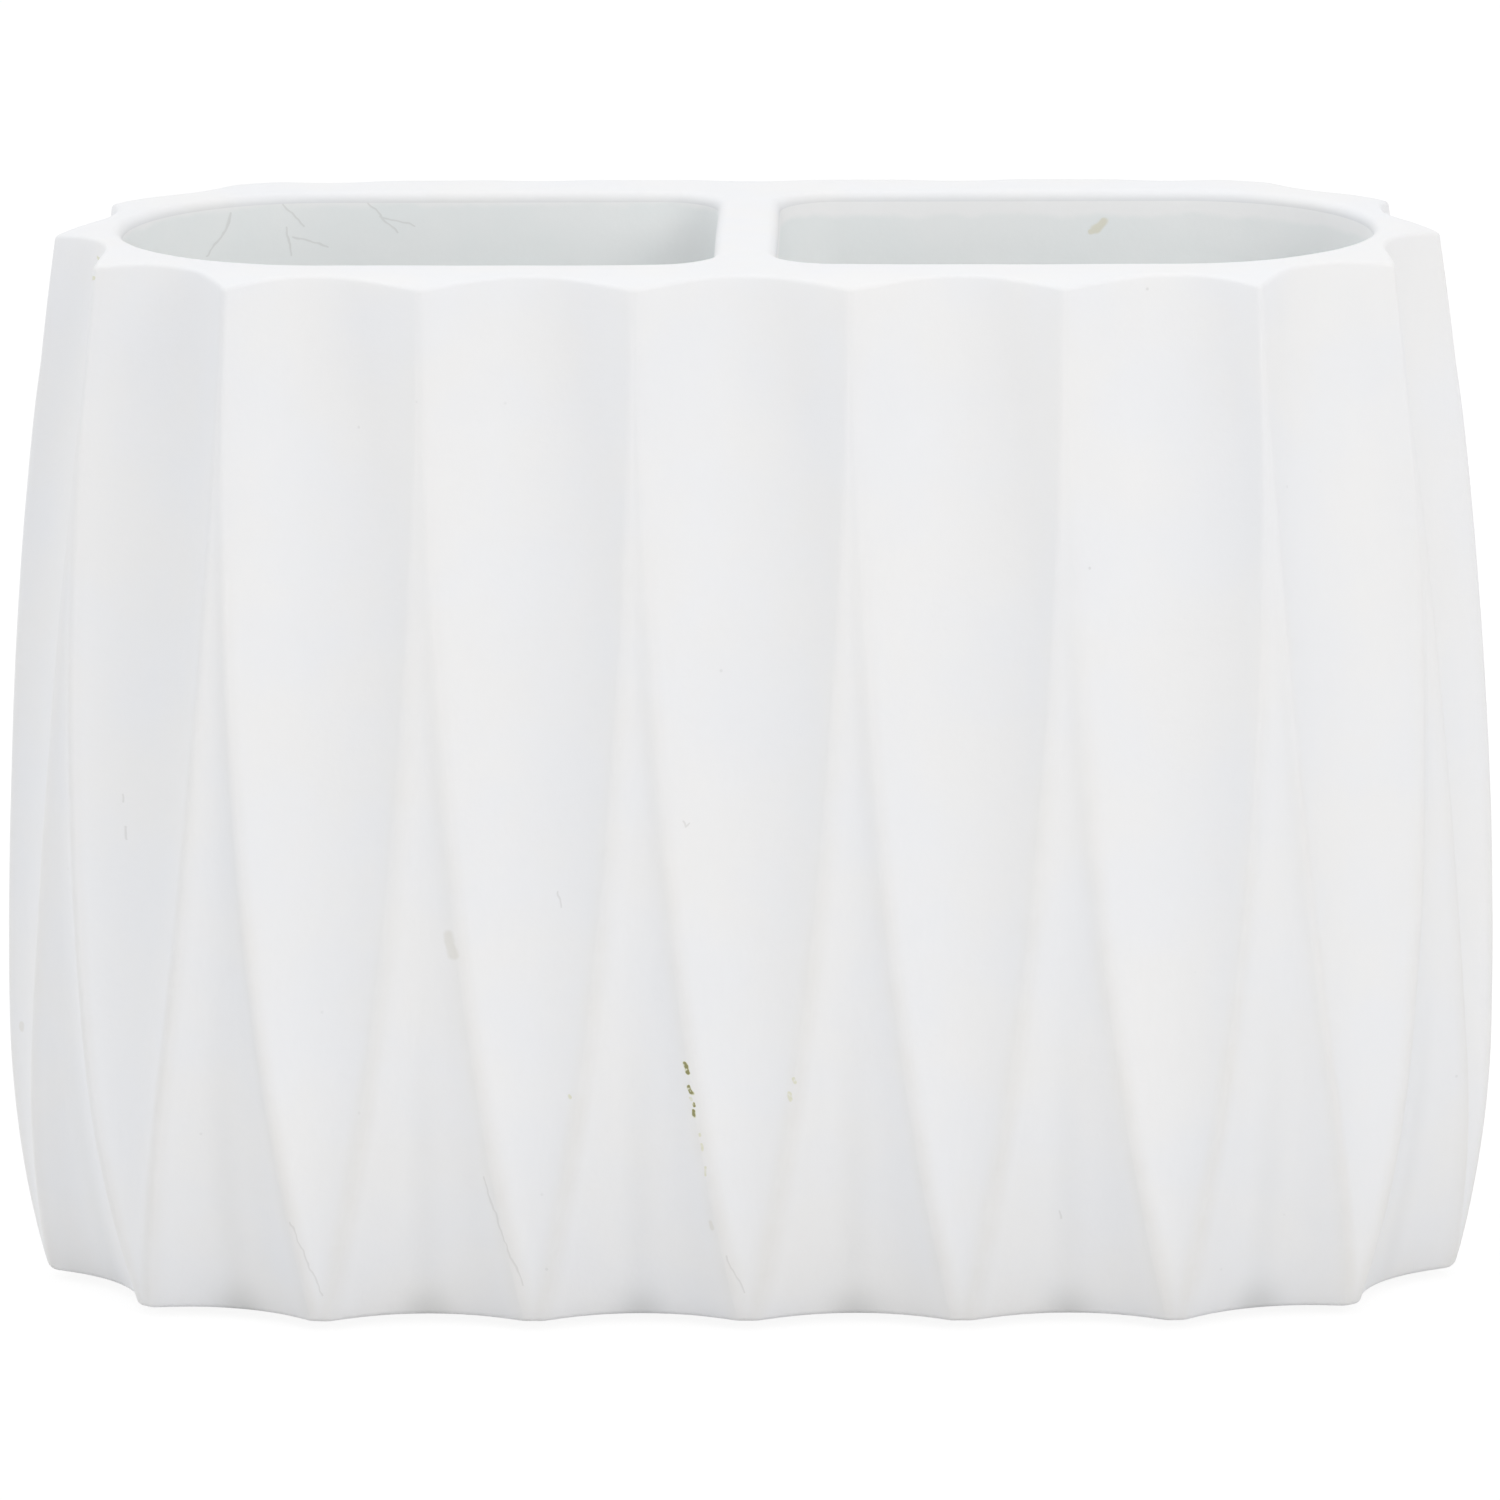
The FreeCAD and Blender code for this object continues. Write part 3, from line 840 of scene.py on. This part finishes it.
# %% Places of the marks on the front: two ends and a width each
CHIPS = (((-5.1, 23.75), (-4.9, 23.0), 0.30), ((-4.75, 21.65), (-4.55, 21.2), 0.28),
         ((-4.4, 20.35), (-4.3, 20.2), 0.20), ((-4.3, 19.7), (-4.3, 19.25), 0.26))
FAINT_CHIPS = (((-4.7, 20.75), (-4.65, 20.65), 0.18), ((-3.85, 17.65), (-3.8, 17.5), 0.14),
               ((-3.7, 16.8), (-3.6, 16.3), 0.17), ((-3.4, 14.75), (-3.4, 14.1), 0.14),
               ((3.7, 21.1), (3.75, 20.6), 0.30), ((4.05, 22.4), (4.15, 22.2), 0.24),
               ((-14.8, 20.95), (-14.7, 20.8), 0.22), ((-54.7, 88.1), (-54.7, 88.0), 0.26))
HAIRLINES = (((-22.1, 13.9), (-20.1, 7.3), 0.10), ((-20.1, 7.3), (-18.8, 4.2), 0.10),
             ((-38.4, 9.9), (-35.8, 3.3), 0.09), ((-1.8, 6.8), (-0.2, 3.6), 0.09),
             ((-15.7, 38.1), (-15.4, 36.9), 0.09), ((-52.5, 44.7), (-52.5, 44.2), 0.14),
             ((-52.3, 42.1), (-52.2, 41.1), 0.13), ((-5.1, 44.2), (-4.9, 43.8), 0.10),
             ((-4.9, 43.8), (-4.6, 44.0), 0.10), ((26.3, 10.3), (26.5, 9.7), 0.12))
RUBS = (((-24.8, 34.7), (-24.5, 33.1), 0.60), ((-3.0, 9.8), (-2.9, 9.4), 0.3),
        ((-62.2, 21.8), (-62.2, 21.3), 0.3))
WANDER = 0.5                    # how far a mark strays from its line
NOISE_MIDDLE = (0.5, 0.5, 0.5)
NO_DEPTH = (1.0, 0.0, 1.0)      # keeps a place's way across and up


def straight_on(tree, spot):
    """The place as seen straight on, from the front or the back, with a little wandering."""
    shift = vector(tree, "SUBTRACT", noise_at(tree, spot, scale=0.9, detail=1.0)[1], NOISE_MIDDLE)[0]
    seen = vector(tree, "ADD", spot, scaled(tree, shift, WANDER))[0]
    return vector(tree, "MULTIPLY", seen, NO_DEPTH)[0]


def marks(tree, seen, lines):
    """One mask for a set of marks."""
    mask = 0.0
    for (x0, z0), (x1, z1), width in lines:
        line = use(tree, mark, Spot=seen, Start=(x0, 0, z0), End=(x1, 0, z1), Width=width)
        mask = calc(tree, "MAXIMUM", line, mask)
    return mask


print("marks:", len(CHIPS + FAINT_CHIPS), "chips,", len(HAIRLINES), "hairlines,", len(RUBS), "rubs")

# %% Marks on the paint
CHIP_EDGE = colour(0.66, 0.65, 0.42)
CHIP_CORE = colour(0.28, 0.27, 0.12)
DIRT = colour(0.40, 0.39, 0.37)
OLIVE = colour(0.50, 0.46, 0.33)
FRONT = (0.0, -2.0)             # depths where the front begins and is full
RUB_STRENGTH = 0.2
HAIRLINE_STRENGTH = 0.22
FAINT = 0.4                     # strength of a faint chip
CRUMBLING = (0.1, 1.6)          # least of a chip that is left, and what the crumbs' noise adds
EDGE_OF_CHIP = (0.05, 0.45)     # of the chips' mask, where the edge's colour begins and is full
CORE_OF_CHIP = (0.5, 0.8)       # and the core's
EDGE_STRENGTH = 0.6
seen = straight_on(tree, spot)
front = fade(tree, deep, *FRONT)
rubs = product(tree, marks(tree, seen, RUBS), front, RUB_STRENGTH)
hairlines = product(tree, front, HAIRLINE_STRENGTH, marks(tree, seen, HAIRLINES))
crumbs = ramp(tree, noise_at(tree, spot, scale=3.5, detail=1.0)[0], *CRUMBLING)
chips = calc(tree, "MULTIPLY_ADD", marks(tree, seen, FAINT_CHIPS), FAINT, marks(tree, seen, CHIPS))
chips = product(tree, chips, front, crumbs)
tone = mixed(tree, rubs, tone, OLIVE)
tone = mixed(tree, hairlines, tone, DIRT)
tone = mixed(tree, product(tree, fade(tree, chips, *EDGE_OF_CHIP), EDGE_STRENGTH), tone, CHIP_EDGE)
tone = mixed(tree, fade(tree, chips, *CORE_OF_CHIP), tone, CHIP_CORE)
print("marks on the paint:", len(tree.nodes), "nodes so far")

# %% Surface of the paint
ORANGE_PEEL = 0.012 * MM
PEEL_SCALE = 1.8
PAINT_ROUGHNESS = (0.55, 0.10)  # least, and what the patches add
CHIP_ROUGHNESS = 0.8
matt = ramp(tree, patches, *PAINT_ROUGHNESS)
rough = calc(tree, "MAXIMUM", matt, calc(tree, "MULTIPLY", chips, CHIP_ROUGHNESS))
peel = use(tree, grain, Spot=spot, Scale=PEEL_SCALE)
surface(tree, shader, tone, rough, peel, ORANGE_PEEL)
casting.data.materials.append(paint)
print("paint:", len(tree.nodes), "nodes")

# %% [markdown]
# ## Bare resin inside
#
# Inside the compartments only the lips and a band below them caught the spray. Its edge is uneven,
# deeper in the right compartment than in the left one, and below it the bare resin is a cooler white.
# Band and resin are both given paler colours than the paint outside: painted light that lifts the dim
# inside of the compartments. The left compartment also has a few fine cracks in its back wall, and the
# right one a small yellow stain.
# The edge of the band could be cut into the mesh, but noise added to a height makes it ragged with no
# more points.

# %% Resin and spray
# painted light: these whites are paler than the paint outside, to lift the dim compartments
BRIGHTENED_RESIN_COOL = colour(0.876, 0.902, 0.904)
BRIGHTENED_RESIN_PALE = colour(0.896, 0.912, 0.913)
BRIGHTENED_SPRAY_WHITE = colour(0.945, 0.945, 0.948)
SPRAY_LEFT = 1.1                # depth of the sprayed band in the left compartment
SPRAY_RIGHT = 2.1               # and in the right one
RAGGED = 1.6                    # how much its edge goes up and down
SOFT_EDGE = (-0.35, 0.35)       # from its edge, where the bare resin begins and is full
DIVIDER_FADE = (-2.0, 2.0)      # across, where the right compartment begins and is full
resin, tree, shader, spot = new_finish("brightened_bare_resin")
across, deep, up = add(tree, "ShaderNodeSeparateXYZ", {0: spot}).outputs
patches = use(tree, mottle, Spot=spot, Scale=0.12)
right_one = fade(tree, across, *DIVIDER_FADE)
band = ramp(tree, right_one, SPRAY_LEFT - RAGGED / 2, SPRAY_RIGHT - SPRAY_LEFT)
band = ramp(tree, noise_at(tree, spot, scale=0.25, detail=3.0)[0], band, RAGGED)
below = calc(tree, "SUBTRACT", RIM_Z, calc(tree, "ADD", up, band))
bare = fade(tree, below, *SOFT_EDGE)
tone = mixed(tree, bare, BRIGHTENED_SPRAY_WHITE, mixed(tree, patches, BRIGHTENED_RESIN_COOL, BRIGHTENED_RESIN_PALE))
print("resin and spray:", len(tree.nodes), "nodes so far")

# %% Cracks and a stain
CRACKS = (((-44.4, 88.2), (-45.1, 86.4), 0.14), ((-45.1, 86.4), (-46.4, 84.8), 0.11),
          ((-40.1, 88.7), (-38.2, 86.7), 0.11), ((-39.8, 86.7), (-39.3, 84.2), 0.11),
          ((-39.3, 85.8), (-36.3, 84.9), 0.10), ((-32.8, 88.7), (-30.3, 86.2), 0.11),
          ((-31.7, 87.5), (-28.8, 86.7), 0.10))
STAINS = (((29.6, 86.3), (30.3, 86.9), 0.50), ((29.2, 86.0), (29.4, 86.1), 0.30))
STAIN = colour(0.72, 0.67, 0.46)
BACK = (2.0, 4.0)               # depths where the back begins and is full
STAIN_STRENGTH = 0.5
CRACK_STRENGTH = 0.22
RESIN_ROUGHNESS = (0.5, 0.1)    # least, and what the patches add
seen = straight_on(tree, spot)
at_back = fade(tree, deep, *BACK)
stains = product(tree, marks(tree, seen, STAINS), at_back, STAIN_STRENGTH)
cracks = product(tree, marks(tree, seen, CRACKS), at_back, CRACK_STRENGTH)
tone = mixed(tree, cracks, mixed(tree, stains, tone, STAIN), DIRT)
peel = use(tree, grain, Spot=spot, Scale=PEEL_SCALE)
surface(tree, shader, tone, ramp(tree, patches, *RESIN_ROUGHNESS), peel, ORANGE_PEEL)
casting.data.materials.append(resin)
print("resin:", len(tree.nodes), "nodes,", len(CRACKS), "cracks,", len(STAINS), "spots of a stain")

# %% [markdown]
# ## Ground resin underneath
#
# The open side of the mould is the underside, which is ground flat on a belt. The belt leaves long
# fine scratches in one direction. A Wave texture would make them too even, so a noise is stretched
# along the holder.

# %% Ground underside
GROUND_PALE = colour(0.760, 0.745, 0.715)
GROUND_GREY = colour(0.660, 0.650, 0.625)
SCRATCH = 0.03 * MM
STRETCH = (0.08, 1.6, 1.0)      # scale of the scratches along, across and up
SCRATCH_EDGES = (0.35, 0.65)    # of the noise, where the grey begins and is full
GROUND_ROUGHNESS = (0.55, 0.3)  # least, and what the scratches add
ground, tree, shader, spot = new_finish("ground_resin")
stretched = vector(tree, "MULTIPLY", spot, STRETCH)[0]
scratches = noise_at(tree, stretched, scale=1.0, detail=3.0)[0]
tone = mixed(tree, fade(tree, scratches, *SCRATCH_EDGES), GROUND_PALE, GROUND_GREY)
surface(tree, shader, tone, ramp(tree, scratches, *GROUND_ROUGHNESS), scratches, SCRATCH)
casting.data.materials.append(ground)
print("ground resin:", len(tree.nodes), "nodes")

# %% [markdown]
# ## The rubber of the feet
#
# Soft grey rubber with dust on it: a fine grain, a dull sheen and paler clouds where dust has stuck.
# One grey would do for such small pieces, but the mottling and the grain are there already.

# %% Rubber
RUBBER = colour(0.60, 0.60, 0.585)
DUSTY = colour(0.68, 0.675, 0.65)
PORES = 0.03 * MM
PORE_SCALE = 3.0
RUBBER_ROUGHNESS = (0.6, 0.2)   # least, and what the dust adds
rubber, tree, shader, spot = new_finish("soft_rubber")
dust = use(tree, mottle, Spot=spot, Scale=0.7)
pores = use(tree, grain, Spot=spot, Scale=PORE_SCALE)
tone = mixed(tree, dust, RUBBER, DUSTY)
surface(tree, shader, tone, ramp(tree, dust, *RUBBER_ROUGHNESS), pores, PORES)
foot_mesh.materials.append(rubber)
print("rubber:", len(tree.nodes), "nodes")

# %% [markdown]
# ## Floor and light
#
# The object is photographed on white. A photographer puts such a thing into a tent of white cloth, so
# that light comes from everywhere. Here the world is the tent, brightest on the left. Planes of cloth
# with lamps behind them could do the same, with more noise in the picture. A large soft lamp at the
# front, well to the right, tells the flanks of the grooves apart, and a weak one hangs overhead. The
# floor is pale and diffuse for the light, and mostly white for the camera, but it keeps the soft shadow
# under the object.

# %% Floor
FLOOR_SIZE = 8.0        # metres
FLOOR_PALE = colour(0.80, 0.80, 0.80)
WHITE = colour(1.0, 1.0, 1.0)
LIFT = 0.85             # how much of the floor is plain white for the camera
LIFT_STRENGTH = 1.07
half = FLOOR_SIZE / 2
corners = [(-half, -half, 0), (half, -half, 0), (half, half, 0), (-half, half, 0)]
floor_mesh = bpy.data.meshes.new("floor")
floor_mesh.from_pydata(corners, [], [(0, 1, 2, 3)])
floor = bpy.data.objects.new("floor", floor_mesh)
bpy.context.scene.collection.objects.link(floor)


def seen_directly(tree):
    """1 for what the camera sees itself, in a mirror or through glass."""
    path = add(tree, "ShaderNodeLightPath").outputs
    direct = calc(tree, "MAXIMUM", path["Is Camera Ray"], path["Is Glossy Ray"])
    return calc(tree, "MAXIMUM", direct, path["Is Transmission Ray"])


paper = bpy.data.materials.new("paper")
paper.use_nodes = True
tree = paper.node_tree
tree.nodes.remove(tree.nodes["Principled BSDF"])
pale = add(tree, "ShaderNodeBsdfDiffuse", {"Color": FLOOR_PALE})
white = add(tree, "ShaderNodeEmission", {"Color": WHITE, "Strength": LIFT_STRENGTH})
lifted = calc(tree, "MULTIPLY", seen_directly(tree), LIFT)
both = add(tree, "ShaderNodeMixShader", {0: lifted, 1: pale.outputs[0], 2: white.outputs[0]})
tree.links.new(both.outputs[0], tree.nodes["Material Output"].inputs["Surface"])
floor_mesh.materials.append(paper)
print("floor:", FLOOR_SIZE, "m")

# %% Tent
TENT = colour(0.985, 0.992, 1.0)
TENT_EVEN = 0.345       # strength all round
# axis, side and strength that each wall of the tent adds: left, right, back and above
TENT_SIDES = (("X", -1.0, 0.75), ("X", 1.0, 0.20), ("Y", 1.0, 0.30), ("Z", 1.0, 0.35))
world = bpy.data.worlds.new("studio")
bpy.context.scene.world = world
world.use_nodes = True
tree = world.node_tree
tent = tree.nodes["Background"]
tent.inputs["Color"].default_value = TENT
outwards = add(tree, "ShaderNodeTexCoord").outputs["Generated"]
towards = add(tree, "ShaderNodeSeparateXYZ", {0: outwards}).outputs
glow = TENT_EVEN
for axis, side, strength in TENT_SIDES:
    glow = ramp(tree, fade(tree, towards[axis], 0.0, side), glow, strength)
tree.links.new(glow, tent.inputs["Strength"])
backdrop = add(tree, "ShaderNodeBackground", {"Color": WHITE, "Strength": 1.0})
both = add(tree, "ShaderNodeMixShader", {0: seen_directly(tree), 1: tent.outputs[0], 2: backdrop.outputs[0]})
tree.links.new(both.outputs[0], tree.nodes["World Output"].inputs["Surface"])
print("tent:", len(TENT_SIDES), "walls,", len(tree.nodes), "nodes")

# %% Lamps
LAMP_DISTANCE = 1.6     # metres
LAMP_SIZE = 0.9         # metres
WARM_LIGHT = (1.0, 0.975, 0.945)
NEUTRAL_LIGHT = (1.0, 0.995, 0.99)
# name, degrees to the right of the front, degrees up, watts, tint
LAMPS = (("key", 35, 30, 7.6, WARM_LIGHT),
         ("top", 0, 89, 2.7, NEUTRAL_LIGHT))
middle = (Vector(cad_low) + Vector(cad_high)) / 2


def direction(turn, rise):
    """Towards a turn from the front and a rise above the horizon."""
    return Vector((math.sin(turn) * math.cos(rise), -math.cos(turn) * math.cos(rise), math.sin(rise)))


for name, turn, rise, watts, tint in LAMPS:
    light = bpy.data.lights.new(name, "AREA")
    light.size = LAMP_SIZE
    light.energy = watts
    light.color = tint
    lamp = bpy.data.objects.new(name, light)
    bpy.context.scene.collection.objects.link(lamp)
    towards = direction(math.radians(turn), math.radians(rise))
    lamp.location = middle + towards * LAMP_DISTANCE
    lamp.rotation_euler = towards.to_track_quat("Z", "Y").to_euler()
    print(name, "at", [round(value, 2) for value in lamp.location])

# %% [markdown]
# ## Camera
#
# The picture was taken from far away with a long lens: the near and the far edge of the rim are almost
# equally wide. A Track To constraint could aim the camera, but it keeps it level, and this one leans by
# a third of a degree, as a camera held by hand does. So its three axes are worked out one by one. Its
# place was found by fitting the outline of the solids to the picture.

# %% Camera
LENS = 417.6
SENSOR = 36.0
CAMERA_TURN = math.radians(1.048)
CAMERA_RISE = math.radians(12.282)
CAMERA_ROLL = math.radians(-0.335)
CAMERA_DISTANCE = 1484.2 * MM
AIM_ABOVE_BASE = 44.0
AIM_LOWER = 0.58        # the object stands a little above the picture's middle

back = direction(CAMERA_TURN, CAMERA_RISE)
level = Vector((math.cos(CAMERA_TURN), math.sin(CAMERA_TURN), 0))
right = level * math.cos(CAMERA_ROLL) + back.cross(level) * math.sin(CAMERA_ROLL)
over = back.cross(right)
camera_data = bpy.data.cameras.new("camera")
camera_data.lens = LENS
camera_data.sensor_width = SENSOR
camera = bpy.data.objects.new("camera", camera_data)
bpy.context.scene.collection.objects.link(camera)
aim = Vector((0, 0, (BASE_Z + AIM_ABOVE_BASE) * MM)) - over * AIM_LOWER * MM
facing = Matrix((right, over, back)).transposed().to_4x4()
camera.matrix_world = Matrix.Translation(aim + back * CAMERA_DISTANCE) @ facing
bpy.context.scene.camera = camera
bpy.context.scene.view_settings.view_transform = "Standard"
print("camera at", [round(value, 3) for value in camera.location])
